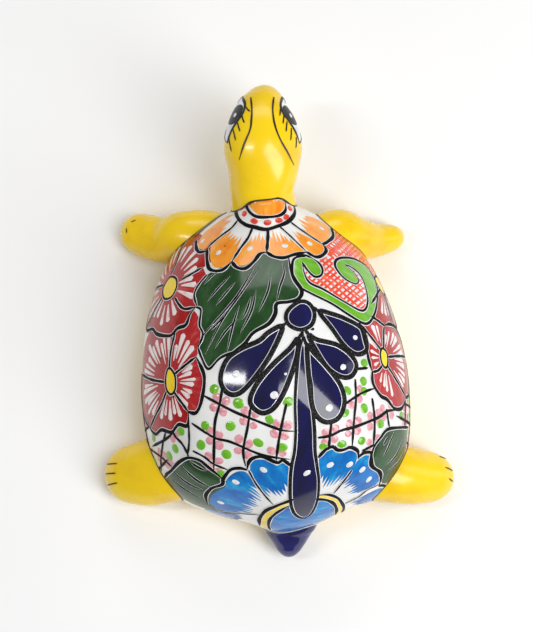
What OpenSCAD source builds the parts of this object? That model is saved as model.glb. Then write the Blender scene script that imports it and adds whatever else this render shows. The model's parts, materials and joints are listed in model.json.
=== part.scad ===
// Hollow glazed earthenware turtle: a domed upper shell luted to a shallow lower shell, with a
// head, four limbs and a tail luted on. The head points along +Y, its right side is +X, and the
// figure rests on Z = 0 with the origin under the middle of its length. It is made by hand,
// so its left and right limbs differ a little and its head leans to its left.

/* [Shell] */
// Length of the shell from its rear edge to its front edge
shell_length = 208; // [200:1:214]
// Greatest width of the shell
shell_width = 168; // [162:1:174]
// Height of the top of the dome
shell_height = 98; // [92:1:104]
// Height of the shell's widest line, where its two halves meet
rim_height = 22; // [19:1:25]
// Thickness of the shell's clay wall
wall = 5; // [4:0.5:6]

/* [Belly] */
// Thickness of the lower shell's floor
floor_thickness = 6; // [5:0.5:8]
// Diameter of the hole that drains the casting and takes a wall nail or screw
hang_hole_d = 12; // [8:1:16]
// How far the hole lies ahead of the origin
hang_hole_y = 8; // [4:1:12]

/* [Head] */
// Greatest width of the head
head_width = 48; // [45:1:51]
// Greatest height of the head, across its length
head_height = 39; // [36:1:42]
// Thickness of the head's clay wall
head_wall = 9.5; // [9:0.5:11]
// Diameter of the passage from the shell into the neck
neck_passage_d = 16; // [10:1:18]
// How far the shell sweeps up along the top of the neck
collar_length = 13; // [10:1:15]

/* [Limbs] */
// Greatest width of a front flipper
flipper_width = 37; // [35:1:39]
// Greatest width of a rear leg
leg_width = 42; // [39:1:44]
// Greatest height of a flipper or leg, across its length
limb_height = 32; // [30:1:34]
// Thickness of a limb's clay wall
limb_wall = 6.5; // [6:0.5:8]
// Diameter of the vent from the shell into each limb
vent_d = 8; // [6:1:10]

/* [Tail] */
// Width of the tail at its root
tail_width = 40; // [37:1:42]

/* [Hidden] */

shell_rear = -130;
// The dome's rings shrink towards this point on the midline
dome_y = shell_rear + 0.45 * shell_length;
dome_rise = shell_height - rim_height;
// The flat underside and the floor of the cavity, as shares of the widest outline
foot_share = 0.8;
floor_share = 0.74;
inner_share = 1 - 2 * wall / shell_width;

// Each side of the shell's outline from the neck to the tail: share of the half width, and share
// of the length from the rear. The left side bulges more at its front.
outline_right = [
    [0, 1], [0.2, 0.985], [0.375, 0.95], [0.535, 0.9], [0.66, 0.845], [0.785, 0.755], [0.89, 0.64],
    [0.965, 0.51], [0.988, 0.38], [0.965, 0.255], [0.88, 0.16], [0.72, 0.096], [0.5, 0.065],
    [0.26, 0.024], [0, 0]
];
outline_left = [
    [0, 1], [0.2, 0.988], [0.39, 0.96], [0.565, 0.913], [0.695, 0.86], [0.805, 0.785], [0.917, 0.675],
    [0.992, 0.56], [1.012, 0.42], [0.974, 0.285], [0.887, 0.175], [0.725, 0.106], [0.48, 0.062],
    [0.225, 0.031], [0, 0]
];
outline_steps = 3;
top_rings = 13;
under_rings = 4;

// The shell's collar follows the top of the neck, which rises forwards
collar_start = [-4, 66, 60];
neck_pitch = 25;
neck_way = [0, cos(neck_pitch), sin(neck_pitch)];
collar_radius = 9;
collar_fade = 9;
// The collar starts at the widest line and is full this far above it
collar_rise = 20;

// Sections along each form, from inside the shell to the tip: centre x, y, z, then the share of
// its greatest width and the share of its greatest height
head_sections = [
    [-5, 62, 44, 0.98, 1], [-6.8, 73, 50, 0.925, 0.97], [-5.6, 83, 55, 0.8, 0.92],
    [-4.7, 94, 60, 0.92, 1], [-4.5, 105, 63.5, 1, 1], [-4.5, 117, 64.5, 0.92, 0.92],
    [-4, 128, 63.5, 0.73, 0.77], [-2.6, 136, 62, 0.53, 0.59]
];
flipper_left_sections = [
    [28, 50, 34, 0.98, 0.9], [43, 55.5, 32, 1, 0.95], [57, 58.3, 26, 0.86, 0.88],
    [69, 56.8, 18, 0.745, 0.77], [79, 61, 12.5, 0.77, 0.72], [87.5, 64.8, 10, 0.68, 0.62]
];
flipper_right_sections = [
    [28, 47.5, 34, 0.97, 0.9], [41, 54.3, 32, 0.945, 0.95], [53, 53.8, 25, 0.75, 0.85],
    [64, 54, 16, 0.605, 0.7], [75, 56.2, 9.5, 0.487, 0.62]
];
leg_left_sections = [
    [48, -86, 32, 0.96, 1], [66, -88, 27, 0.98, 1], [82, -90, 19, 0.99, 0.94],
    [95, -90.8, 12.5, 0.857, 0.81]
];
leg_right_sections = [
    [48, -89, 32, 0.93, 1], [66, -93.3, 27, 0.92, 1], [82, -96.5, 19, 0.857, 0.94],
    [95, -97.6, 12.5, 0.757, 0.81]
];
tail_sections = [
    [4.5, -112, 24, 1, 0.68], [6, -122, 20, 0.97, 0.6], [5.6, -128.5, 17, 0.8, 0.5],
    [4.9, -134, 14.7, 0.58, 0.42], [4.7, -138.7, 12.8, 0.43, 0.33]
];
head_tip = 9.2;
flipper_tip = 10.2;
leg_tip = 16;
tail_tip = 6.5;
section_steps = 2;
section_facets = 28;
tip_rings = 4;
// The cavity in a form stops this many sections short of its tip
cavity_stop = 2;
// A passage or vent runs this far from the first section, through the shell
passage_reach = 36;

// Catmull-Rom value between b and c, for numbers or vectors
function spline(a, b, c, d, t) =
    b + 0.5 * t * (c - a + t * (2 * a - 5 * b + 4 * c - d + t * (3 * (b - c) + d - a)));

// A list with steps values for each of its gaps, closed into a loop or open at both ends
function smooth_loop(list, steps) =
    let (n = len(list))
    [for (i = [0:n - 1], s = [0:steps - 1])
        spline(list[(i + n - 1) % n], list[i], list[(i + 1) % n], list[(i + 2) % n], s / steps)];
function smooth_line(list, steps) =
    let (n = len(list))
    [for (i = [0:n - 2], s = [0:steps - 1])
        spline(list[max(i - 1, 0)], list[i], list[i + 1], list[min(i + 2, n - 1)], s / steps),
        list[n - 1]];

function reversed(list) = [for (i = [len(list) - 1:-1:0]) list[i]];
function first_of(list, n) = [for (i = [0:n - 1]) list[i]];

// The widest outline, clockwise from the neck, measured from the dome's middle
function place(p, side) = [side * p[0] * shell_width / 2, shell_rear + p[1] * shell_length - dome_y];
outline = smooth_loop(
    concat(
        [for (p = outline_right) place(p, 1)],
        [for (i = [len(outline_left) - 2:-1:1]) place(outline_left[i], -1)]),
    outline_steps);

// The collar pushes the dome's front out along the neck, and fades away round it
function along_neck(p) = (p - collar_start) * neck_way;
function from_axis(p) = norm(p - collar_start - along_neck(p) * neck_way);
function collar(p) =
    p[1] < dome_y ? p
    : p + collar_length * exp(-max(0, from_axis(p) - collar_radius) / collar_fade)
        * min(1, (p[2] - rim_height) / collar_rise) * neck_way;

function ring(share, z) = [for (p = outline) [p[0] * share, dome_y + p[1] * share, z]];
function outer_ring(share, z) = [for (p = ring(share, z)) collar(p)];

// The outside and the cavity of each half, from the middle outwards
upper_rings = [for (i = [1:top_rings]) let (a = 90 - 90 * i / top_rings)
    outer_ring(cos(a), rim_height + dome_rise * sin(a))];
cavity_rings = [for (i = [1:top_rings]) let (a = 90 - 90 * i / top_rings)
    ring(inner_share * cos(a), rim_height + (dome_rise - wall) * sin(a))];
lower_rings = [for (i = [0:under_rings]) let (a = 90 - 90 * i / under_rings)
    ring(1 - (1 - foot_share) * (1 - cos(a)), rim_height * (1 - sin(a)))];
floor_rings = [for (i = [0:under_rings]) let (a = 90 - 90 * i / under_rings)
    ring(inner_share - (inner_share - floor_share) * (1 - cos(a)),
        rim_height - (rim_height - floor_thickness) * sin(a))];

// A closed solid from a first point, a stack of rings and a last point
module ring_solid(first, rings, last) {
    n = len(rings[0]);
    end = 1 + n * len(rings);
    polyhedron(
        points = concat([first], [for (r = rings) each r], [last]),
        faces = concat(
            [for (j = [0:n - 1]) [0, 1 + j, 1 + (j + 1) % n]],
            [for (i = [0:len(rings) - 2], j = [0:n - 1], half = [0, 1])
                let (a = 1 + i * n + j, b = 1 + i * n + (j + 1) % n)
                half == 0 ? [a, b + n, b] : [a, a + n, b + n]],
            [for (j = [0:n - 1]) [end, end - n + (j + 1) % n, end - n + j]]));
}

module whole_shell()
    ring_solid([0, dome_y, shell_height],
        concat(first_of(upper_rings, top_rings - 1), reversed(lower_rings)), [0, dome_y, 0]);

// A form's sections in millimetres, with the ones between them
function sized(sections, width, height) =
    [for (s = smooth_line(sections, section_steps))
        [s[0], s[1], s[2], s[3] * width / 2, s[4] * height / 2]];
function centre(s) = [s[0], s[1], s[2]];
function unit(v) = v / norm(v);
function way(s, i) = unit(centre(s[min(i + 1, len(s) - 1)]) - centre(s[max(i - 1, 0)]));
function standing(p) = [p[0], p[1], max(p[2], 0)];

// The rings of a form from its tip to its root, drawn in by shrink and flat where it stands
function section_ring(c, d, half_width, half_height) =
    let (side = unit(cross(d, [0, 0, 1])), up = cross(side, d))
    [for (j = [0:section_facets - 1]) let (a = 360 * j / section_facets)
        standing(c + half_width * cos(a) * side + half_height * sin(a) * up)];
function form_rings(s, tip, shrink) =
    let (n = len(s), last = s[n - 1], d = way(s, n - 1))
    concat(
        [for (i = [tip_rings:-1:1]) let (a = 90 * (i - 0.4) / tip_rings)
            section_ring(centre(last) + (tip - shrink) * sin(a) * d, d,
                (last[3] - shrink) * cos(a), (last[4] - shrink) * cos(a))],
        [for (i = [n - 1:-1:0])
            section_ring(centre(s[i]), way(s, i), s[i][3] - shrink, s[i][4] - shrink)]);
function form_tip(s, tip, shrink) =
    let (n = len(s)) standing(centre(s[n - 1]) + (tip - shrink) * way(s, n - 1));
// A hollow form that is open at its root and ends on the shell
module hollow_form(s, tip, thickness) difference() {
    inner = first_of(s, len(s) - cavity_stop);
    ring_solid(form_tip(s, tip, 0),
        concat(form_rings(s, tip, 0), reversed(form_rings(inner, thickness, thickness))),
        form_tip(inner, thickness, thickness));
    whole_shell();
}

// A round way through the shell into a form, along its first stretch
module passage(sections, diameter) {
    from = centre(sections[0]);
    d = unit(centre(sections[1]) - from);
    translate(from) rotate([0, acos(d[2]), atan2(d[1], d[0])])
        cylinder(h = passage_reach, d = diameter, $fn = 48);
}

module passages() {
    passage(head_sections, neck_passage_d);
    passage(flipper_right_sections, vent_d);
    mirror([1, 0, 0]) passage(flipper_left_sections, vent_d);
    passage(leg_right_sections, vent_d);
    mirror([1, 0, 0]) passage(leg_left_sections, vent_d);
}

module carapace() color("ivory") difference() {
    ring_solid([0, dome_y, shell_height], concat(upper_rings, reversed(cavity_rings)),
        [0, dome_y, shell_height - wall]);
    passages();
}

module plastron() color("gold") difference() {
    ring_solid([0, dome_y, floor_thickness], concat(floor_rings, reversed(lower_rings)), [0, dome_y, 0]);
    translate([0, hang_hole_y, -1]) cylinder(h = floor_thickness + 2, d = hang_hole_d, $fn = 48);
    passages();
}

module head_and_neck() color("gold")
    hollow_form(sized(head_sections, head_width, head_height), head_tip, head_wall);

module front_flipper_left() color("gold") mirror([1, 0, 0])
    hollow_form(sized(flipper_left_sections, flipper_width, limb_height), flipper_tip, limb_wall);

module front_flipper_right() color("gold")
    hollow_form(sized(flipper_right_sections, flipper_width, limb_height), flipper_tip, limb_wall);

module rear_leg_left() color("gold") mirror([1, 0, 0])
    hollow_form(sized(leg_left_sections, leg_width, limb_height), leg_tip, limb_wall);

module rear_leg_right() color("gold")
    hollow_form(sized(leg_right_sections, leg_width, limb_height), leg_tip, limb_wall);

module tail() color("navy") difference() {
    s = sized(tail_sections, tail_width, tail_width);
    ring_solid(form_tip(s, tail_tip, 0), form_rings(s, tail_tip, 0), centre(s[0]));
    whole_shell();
}

carapace();
plastron();
head_and_neck();
front_flipper_left();
front_flipper_right();
rear_leg_left();
rear_leg_right();
tail();
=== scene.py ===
"""Hollow glazed earthenware turtle with a hand-painted shell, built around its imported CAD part.

The clay forms are lofted meshes, and every brush mark is a thin closed mesh of glaze that lies on
them. Lengths are in millimetres in the CAD frame until a mesh is made, and in metres from then on.
"""

import json
import math
import random

import bpy
import numpy as np
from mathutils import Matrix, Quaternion, Vector, geometry
from mathutils.bvhtree import BVHTree


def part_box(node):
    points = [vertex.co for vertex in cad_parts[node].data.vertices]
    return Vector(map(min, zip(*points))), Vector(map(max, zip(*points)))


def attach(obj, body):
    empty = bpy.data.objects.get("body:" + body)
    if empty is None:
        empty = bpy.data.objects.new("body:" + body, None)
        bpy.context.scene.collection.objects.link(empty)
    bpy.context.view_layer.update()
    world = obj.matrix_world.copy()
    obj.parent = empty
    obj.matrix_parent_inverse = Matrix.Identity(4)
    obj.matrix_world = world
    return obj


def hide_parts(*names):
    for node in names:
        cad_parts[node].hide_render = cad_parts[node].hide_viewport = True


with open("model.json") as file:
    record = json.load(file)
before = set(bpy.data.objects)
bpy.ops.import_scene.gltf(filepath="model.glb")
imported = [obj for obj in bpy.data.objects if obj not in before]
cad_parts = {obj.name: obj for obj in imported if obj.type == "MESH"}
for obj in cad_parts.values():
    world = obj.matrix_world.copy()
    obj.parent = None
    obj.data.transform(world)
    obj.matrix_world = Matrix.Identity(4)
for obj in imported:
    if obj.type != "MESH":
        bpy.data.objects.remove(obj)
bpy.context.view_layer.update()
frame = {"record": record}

MM = 0.001
chance = random.Random(7)

# --- curves


def spline(points, steps, closed=False):
    """A Catmull-Rom curve through the points, with steps samples for each gap."""
    p = np.array(points, float)
    n = len(p)
    t = (np.arange(steps) / steps)[:, None]
    out = []
    for i in range(n if closed else n - 1):
        if closed:
            a, b, c, d = p[i - 1], p[i], p[(i + 1) % n], p[(i + 2) % n]
        else:
            a, b, c, d = p[max(i - 1, 0)], p[i], p[i + 1], p[min(i + 2, n - 1)]
        bend = 2 * a - 5 * b + 4 * c - d + t * (3 * (b - c) + d - a)
        out.append(b + 0.5 * t * (c - a + t * bend))
    if not closed:
        out.append(p[-1:])
    return np.concatenate(out)


def even(points, gap, closed=False):
    """The same line with its points an even gap apart."""
    p = np.array(points, float)
    if closed:
        p = np.concatenate([p, p[:1]])
    run = np.concatenate([[0], np.cumsum(np.linalg.norm(np.diff(p, axis=0), axis=1))])
    count = max(2, int(round(run[-1] / gap)) + 1)
    s = np.linspace(0, run[-1], count)
    out = np.stack([np.interp(s, run, p[:, k]) for k in range(p.shape[1])], 1)
    return out[:-1] if closed else out


def unit(v):
    v = np.array(v, float)
    return v / np.linalg.norm(v)


def heading(degrees):
    """The unit vector at an angle to the x axis."""
    return np.array([math.cos(math.radians(degrees)), math.sin(math.radians(degrees))])


def inside(polygon, x, y):
    """Whether a point lies inside a closed outline."""
    found = False
    for (x0, y0), (x1, y1) in zip(polygon, np.roll(polygon, -1, axis=0)):
        if (y0 > y) != (y1 > y) and x < (x1 - x0) * (y - y0) / (y1 - y0) + x0:
            found = not found
    return found


# --- materials

def srgb(r, g, b):
    """A linear colour from 0-255 display values."""
    def linear(c):
        return c / 255 / 12.92 if c <= 10 else ((c / 255 + 0.055) / 1.055) ** 2.4
    return linear(r), linear(g), linear(b), 1


def put(node, values):
    """Sets some of a node's inputs."""
    for name, value in values.items():
        node.inputs[name].default_value = value


RIPPLE = 0.15       # strength of the glaze's uneven surface
COAT_ROUGH = 0.06    # roughness of the clear coat


def noise(m, vector, scale, detail, roughness=0.5):
    """The value of a noise texture at a vector, or at its own coordinates."""
    node = m.node_tree.nodes.new("ShaderNodeTexNoise")
    put(node, {"Scale": scale, "Detail": detail, "Roughness": roughness})
    if vector:
        m.node_tree.links.new(vector, node.inputs["Vector"])
    return node.outputs["Fac"]


def on_object(m):
    return m.node_tree.nodes.new("ShaderNodeTexCoord").outputs["Object"]


def colour_by(m, amount, shades, blend="LINEAR"):
    """The base colour runs through the shades, which are (place, linear colour), as the amount grows."""
    nodes, links = m.node_tree.nodes, m.node_tree.links
    ramp = nodes.new("ShaderNodeValToRGB")
    ramp.color_ramp.interpolation = blend
    stops = ramp.color_ramp.elements
    while len(stops) < len(shades):
        stops.new(0.5)
    for i, (place, colour) in enumerate(shades):
        stops[i].position = place
        stops[i].color = colour
    links.new(amount, ramp.inputs["Fac"])
    links.new(ramp.outputs["Color"], nodes["Principled BSDF"].inputs["Base Color"])


def glaze(name, shades, size=(0.02, 0.004), brushed=True, rough=0.12, coat=0.3):
    """Fired glaze. shades run from thin to thick paint, each a place from 0 to 1 and a display colour;
    size is how long and how wide its brush marks are in metres."""
    m = bpy.data.materials.new(name)
    m.use_nodes = True
    nodes, links = m.node_tree.nodes, m.node_tree.links
    bsdf = nodes["Principled BSDF"]
    stretch = nodes.new("ShaderNodeMapping")
    if brushed:
        source = nodes.new("ShaderNodeAttribute")
        source.attribute_name = "brush"
        links.new(source.outputs["Vector"], stretch.inputs["Vector"])
    else:
        links.new(on_object(m), stretch.inputs["Vector"])
    length, width = size
    put(stretch, {"Scale": (1 / length, 1 / width, 1 if brushed else 1 / width)})
    marks = noise(m, stretch.outputs["Vector"], 1.0, 4.0, 0.6)
    colour_by(m, marks, [(place, srgb(*c)) for place, *c in shades], "EASE")
    waves = noise(m, on_object(m), 70.0, 3.0)
    gloss = nodes.new("ShaderNodeMapRange")
    put(gloss, {"To Min": rough * 0.6, "To Max": rough * 1.5})
    links.new(waves, gloss.inputs["Value"])
    links.new(gloss.outputs["Result"], bsdf.inputs["Roughness"])
    bump = nodes.new("ShaderNodeBump")
    put(bump, {"Strength": RIPPLE, "Distance": 0.0006})
    links.new(waves, bump.inputs["Height"])
    links.new(bump.outputs["Normal"], bsdf.inputs["Normal"])
    put(bsdf, {"Coat Weight": coat, "Coat Roughness": COAT_ROUGH})
    return m


def grainy(name, dark, light, share, size=0.0005):
    """Matt black outline paint that dries to a charcoal grain over a share of the line."""
    m = glaze(name, [(0.3, *dark), (0.7, *dark)], coat=0.0, rough=0.5)
    put(m.node_tree.nodes["Principled BSDF"], {"Specular IOR Level": 0.15})
    specks = noise(m, on_object(m), 1 / size, 2.0)
    colour_by(m, specks, [(1 - share, srgb(*dark)), (1 - share * 0.5, srgb(*light))])
    return m


WHITE = glaze("white_glaze", [(0.3, 226, 226, 224), (0.7, 242, 242, 240)],
    size=(0.03, 0.03), brushed=False, rough=0.12)
WHITE_PAINT = glaze("white_brushed", [(0.3, 214, 214, 216), (0.65, 240, 240, 242)])
STREAK = glaze("white_streaks", [(0.3, 226, 168, 168), (0.5, 238, 222, 220), (0.7, 240, 236, 234)],
    size=(0.006, 0.003))
YELLOW = glaze("yellow_body_glaze", [(0.25, 232, 186, 4), (0.5, 248, 208, 4), (0.75, 252, 218, 8)],
    size=(0.045, 0.035), brushed=False, rough=0.24, coat=0.25)
YELLOW_PAINT = glaze("yellow_brushed", [(0.3, 240, 194, 4), (0.6, 252, 220, 4)], size=(0.01, 0.003),
    coat=0.05)
COBALT = glaze("cobalt_brushed", [(0.3, 2, 1, 46), (0.6, 4, 3, 70), (0.85, 22, 22, 112)],
    size=(0.02, 0.006), rough=0.1, coat=0.45)
COBALT_BODY = glaze("cobalt_body_glaze", [(0.3, 6, 5, 66), (0.6, 20, 18, 96), (0.85, 60, 60, 130)],
    size=(0.012, 0.012), brushed=False, rough=0.08, coat=0.5)
AZURE = glaze("azure_brushed", [(0.3, 2, 84, 166), (0.5, 6, 114, 192), (0.72, 38, 168, 218)],
    size=(0.016, 0.0035), coat=0.1)
RED = glaze("red_brushed", [(0.28, 130, 3, 5), (0.5, 170, 6, 7), (0.78, 188, 26, 28)],
    size=(0.012, 0.0022), coat=0.08)
ROSE = glaze("rose_brushed", [(0.28, 152, 10, 14), (0.5, 180, 30, 34), (0.75, 200, 86, 90)],
    size=(0.012, 0.0022), coat=0.08)
ORANGE = glaze("orange_brushed", [(0.28, 242, 132, 6), (0.5, 248, 158, 44), (0.75, 252, 190, 96)],
    size=(0.014, 0.003))
DOT_RED = glaze("vermilion_brushed", [(0.3, 206, 34, 22), (0.7, 230, 84, 60)], size=(0.004, 0.002))
HATCH = glaze("hatch_brushed", [(0.3, 222, 40, 14), (0.5, 236, 74, 44), (0.75, 244, 140, 116)],
    size=(0.006, 0.002))
# Leaf glaze: dark green brush marks, whose lightest greyish green shade is a painted reflection of the
# glaze, scattered at random among them
GREEN = glaze("leaf_brushed_and_sheen", [(0.28, 12, 44, 12), (0.46, 24, 64, 22), (0.62, 44, 82, 42),
    (0.8, 86, 120, 84)], size=(0.024, 0.009), coat=0.1)
LIME = glaze("lime_brushed", [(0.3, 86, 164, 18), (0.55, 112, 182, 40), (0.8, 150, 204, 96)],
    size=(0.014, 0.003))
PINK = glaze("pink_brushed", [(0.3, 206, 128, 138), (0.7, 234, 176, 184)], size=(0.005, 0.003))
BLACK = grainy("outline_black", (6, 6, 8), (66, 64, 66), 0.36)
COARSE_BLACK = grainy("outline_charcoal", (6, 6, 9), (104, 102, 106), 0.44, size=0.0007)
FINE_BLACK = glaze("fine_line_black", [(0.3, 8, 8, 10), (0.7, 28, 26, 28)], coat=0.1, rough=0.35)


# --- meshes

def add_object(name, data):
    obj = bpy.data.objects.new(name, data)
    bpy.context.scene.collection.objects.link(obj)
    return obj


def make_mesh(name, points, faces, material, slot, normals=None, brush=None):
    """A piece that rides on the figure's one body, from points in millimetres."""
    mesh = bpy.data.meshes.new(name)
    mesh.from_pydata((np.array(points) * MM).tolist(), [], [list(map(int, f)) for f in faces])
    mesh.validate()
    mesh.shade_smooth()
    if normals is not None:
        mesh.normals_split_custom_set_from_vertices(np.array(normals).tolist())
    if brush is not None:
        layer = mesh.attributes.new("brush", "FLOAT_VECTOR", "POINT")
        layer.data.foreach_set("vector", (np.array(brush, np.float32) * MM).ravel())
    mesh.materials.append(material)
    obj = add_object(name, mesh)
    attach(obj, "root")
    return obj


def ring_faces(rows, columns, start=0, wrap_rows=False):
    """Quads between closed rings of points, which follow each other outwards."""
    faces = []
    for i in range(rows if wrap_rows else rows - 1):
        a, b = start + i * columns, start + ((i + 1) % rows) * columns
        for j in range(columns):
            k = (j + 1) % columns
            faces.append((a + j, b + j, b + k, a + k))
    return faces


def cap(centre, first, columns, outward=True):
    """Triangles from one point to the ring that starts at first."""
    pairs = [(first + j, first + (j + 1) % columns) for j in range(columns)]
    return [(centre, a, b) if outward else (centre, b, a) for a, b in pairs]


class Skin:
    """A clay surface that paint is laid on."""

    def __init__(self, points, faces):
        self.points = np.array(points, float)
        self.tris = np.array([(f[0], f[i], f[i + 1]) for f in faces for i in range(1, len(f) - 1)])
        a, b, c = (self.points[self.tris[:, k]] for k in range(3))
        flat = np.cross(b - a, c - a)
        smooth = np.zeros_like(self.points)
        for k in range(3):
            np.add.at(smooth, self.tris[:, k], flat)
        self.normals = smooth / (np.linalg.norm(smooth, axis=1, keepdims=True) + 1e-12)
        self.tree = BVHTree.FromPolygons(self.points.tolist(), self.tris.tolist())

    def _smooth(self, place, index):
        """A place on a triangle, with the normal smoothed between its corners."""
        corners = self.tris[index]
        p, (a, b, c) = np.array(place), self.points[corners]
        u, v, w = b - a, c - a, p - a
        uu, uv, vv, wu, wv = u @ u, u @ v, v @ v, w @ u, w @ v
        under = uu * vv - uv * uv + 1e-12
        s, t = (vv * wu - uv * wv) / under, (uu * wv - uv * wu) / under
        first, second, third = self.normals[corners]
        n = (1 - s - t) * first + s * second + t * third
        return p, n / (np.linalg.norm(n) + 1e-12)

    def nearest(self, point):
        place, _, index, _ = self.tree.find_nearest(Vector(point))
        return self._smooth(place, index)

    def drop(self, start, way):
        """Where a point lands along a way. One that misses the surface goes to the nearest place."""
        place, _, index, _ = self.tree.ray_cast(Vector(start), Vector(way))
        if place is None:
            return self.nearest(start)
        return self._smooth(place, index)

    def holds(self, point):
        """Whether a point lies under this surface."""
        place, normal = self.nearest(point)
        return (np.array(point) - place) @ normal < 0


STAMP_HEIGHT = 50   # how far above its anchor a stamp's marks start to drop


class Stamp:
    """A drawing plane held over a skin, whose marks drop onto it along the plane's normal."""

    def __init__(self, skin, anchor, normal):
        self.skin, self.anchor, self.normal = skin, np.array(anchor, float), unit(normal)
        self.side = unit(np.cross([0, 1, 0], self.normal))
        self.up = np.cross(self.normal, self.side)

    def at(self, x, y):
        start = self.anchor + x * self.side + y * self.up + STAMP_HEIGHT * self.normal
        return self.skin.drop(start, -self.normal)


# How far the layers of paint stand proud of the clay
UNDER, GROUND, HATCHED, OVER = 0.08, 0.14, 0.18, 0.21
TOP_COAT, HALO, LINE, DOT = 0.27, 0.32, 0.4, 0.46
ROOT = 0.3          # how deep each mark is bedded in the clay
GRAIN = 1.5         # spacing of the points in a filled shape
EDGE_ROOM = 0.6     # how far inside its outline they start, in that spacing
EDGE_GAP = 1.2      # spacing of the points on its outline
LINE_GAP = 1.1      # spacing of the points along a brush line
STEPS = 8           # samples of a curve between two drawn points
SEEDS = 900         # each mark shows its own part, one of this many, of the brush pattern
THIN_RIM = 0.85     # how much of its lift a filled shape keeps at its edge
CLEAR = 0.03        # the least step between two layers that share a place


class Paint:
    """The marks made in one colour, which become one piece."""

    def __init__(self, name, material, slot):
        self.name, self.material, self.slot = name, material, slot
        self.points, self.faces, self.normals, self.brush = [], [], [], []

    def add(self, points, normals, brush, faces):
        start = len(self.points)
        self.points.extend(points)
        self.normals.extend(normals)
        self.brush.extend(brush)
        self.faces.extend([tuple(start + i for i in f) for f in faces])

    def build(self):
        make_mesh(self.name, self.points, self.faces, self.material, self.slot, self.normals, self.brush)


def along_y(x, y):
    return y, x


def round_about(cx, cy):
    """Brush marks that run out from a centre."""
    def grain(x, y):
        return math.hypot(x - cx, y - cy), math.atan2(y - cy, x - cx) * 16
    return grain


def slanted(degrees):
    """Brush marks that run at an angle to the stamp's x axis."""
    c, s = heading(degrees)

    def grain(x, y):
        return x * c + y * s, y * c - x * s
    return grain


def fill(paint, stamp, outline, lift, grain=along_y, curved=True, gap=EDGE_GAP):
    """A filled shape of glaze inside an outline, thinner at its edge."""
    edge = even(spline(outline, STEPS, closed=True) if curved else outline, gap, closed=True)
    low, high = edge.min(0), edge.max(0)
    loop = [Vector(p) for p in edge]
    inner = []
    for x in np.arange(low[0] + GRAIN / 2, high[0], GRAIN):
        for y in np.arange(low[1] + GRAIN / 2, high[1], GRAIN):
            if inside(edge, x, y) and np.hypot(*(edge - (x, y)).T).min() > EDGE_ROOM * GRAIN:
                inner.append(Vector((x, y)))
    flat, _, tris, *_ = geometry.delaunay_2d_cdt(
        loop + inner, [(i, (i + 1) % len(loop)) for i in range(len(loop))], [], 1, 1e-4, False)
    tris = [t if (flat[t[1]] - flat[t[0]]).cross(flat[t[2]] - flat[t[0]]) > 0 else t[::-1]
        for t in map(tuple, tris)]
    tris = [t for t in tris if inside(edge, *((flat[t[0]] + flat[t[1]] + flat[t[2]]) / 3))]
    sides = {}
    for t in tris:
        for i in range(3):
            sides[t[i], t[(i + 1) % 3]] = t
    border = [(a, b) for a, b in sides if (b, a) not in sides]
    rim = {i for pair in border for i in pair}
    used = sorted({i for t in tris for i in t})
    index = {old: new for new, old in enumerate(used)}
    seed = chance.uniform(0, SEEDS)
    tops, unders, normals, brush = [], [], [], []
    for i in used:
        x, y = flat[i]
        p, n = stamp.at(x, y)
        tops.append(p + n * lift * (THIN_RIM if i in rim else 1))
        unders.append(p - n * ROOT)
        normals.append(n)
        brush.append((*grain(x, y), seed))
    count = len(used)
    faces = [tuple(index[i] for i in t) for t in tris]
    faces += [tuple(count + index[i] for i in reversed(t)) for t in tris]
    faces += [(index[b], index[a], count + index[a], count + index[b]) for a, b in border]
    paint.add(tops + unders, normals * 2, brush * 2, faces)


def even_width(t):
    return 1.0


def brush_line(t):
    """A brush line's width: blunt at its start and thinner at its end."""
    return min(1.0, 0.55 + 6 * t, 0.35 + 4 * (1 - t)) * (1 + 0.12 * math.sin(17 * t + 1))


def vein_line(t):
    """A width that swells in the middle of the line."""
    return max(0.3, math.sin(math.pi * min(1, max(0, t))) ** 0.6)


def wedge(t):
    """A dry streak's width: a point that opens out to a round end."""
    return (0.16 + 0.84 * t ** 0.9) * min(1.0, math.sqrt(max(0.0, 1 - t) * 9) + 0.15)


# The cross-section of a brush line, in shares of half its width and of its lift
ACROSS = ((-1, 0.8), (-0.7, 1), (0, 1.05), (0.7, 1), (1, 0.8))
LINE_ROUND, DOT_ROUND = 0.35, 0.4       # how far the shading of a mark leans outwards at its edge


def ribbon(paint, places, width, lift, profile=even_width, closed=False):
    """A brush line of glaze along places, which are (point, normal) pairs on a skin."""
    count = len(places)
    p = np.array([q[0] for q in places])
    n = np.array([q[1] for q in places])
    ahead = np.roll(p, -1, 0) - np.roll(p, 1, 0)
    if not closed:
        ahead[0], ahead[-1] = p[1] - p[0], p[-1] - p[-2]
    side = np.cross(n, ahead)
    side /= np.linalg.norm(side, axis=1, keepdims=True) + 1e-9
    seed = chance.uniform(0, SEEDS)
    points, normals, brush, run = [], [], [], 0.0
    steps = count if closed else count - 1
    for i in range(count):
        half = width / 2 * profile(i / steps)
        if i:
            run += float(np.linalg.norm(p[i] - p[i - 1]))
        for share, rise in ACROSS:
            points.append(p[i] + side[i] * half * share + n[i] * lift * rise)
            normals.append(unit(n[i] + side[i] * share * LINE_ROUND))
            brush.append((run, share * half, seed))
        points.append(p[i] - n[i] * ROOT)
        normals.append(n[i])
        brush.append((run, 0, seed))
    size = len(ACROSS) + 1
    faces = ring_faces(count, size, wrap_rows=closed)
    if not closed:
        faces.append(tuple(range(size)))
        faces.append(tuple(reversed(range((count - 1) * size, count * size))))
    paint.add(points, normals, brush, faces)


def trace(stamp, points, closed=False, curved=True):
    """The places on the skin under a line drawn on a stamp."""
    line = spline(points, STEPS, closed) if curved and len(points) > 2 else points
    return [stamp.at(x, y) for x, y in even(line, LINE_GAP, closed)]


def stroke(paint, stamp, points, width, lift, profile=brush_line, curved=True):
    """A brush line drawn on a stamp."""
    ribbon(paint, trace(stamp, points, curved=curved), width, lift, profile)


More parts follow.
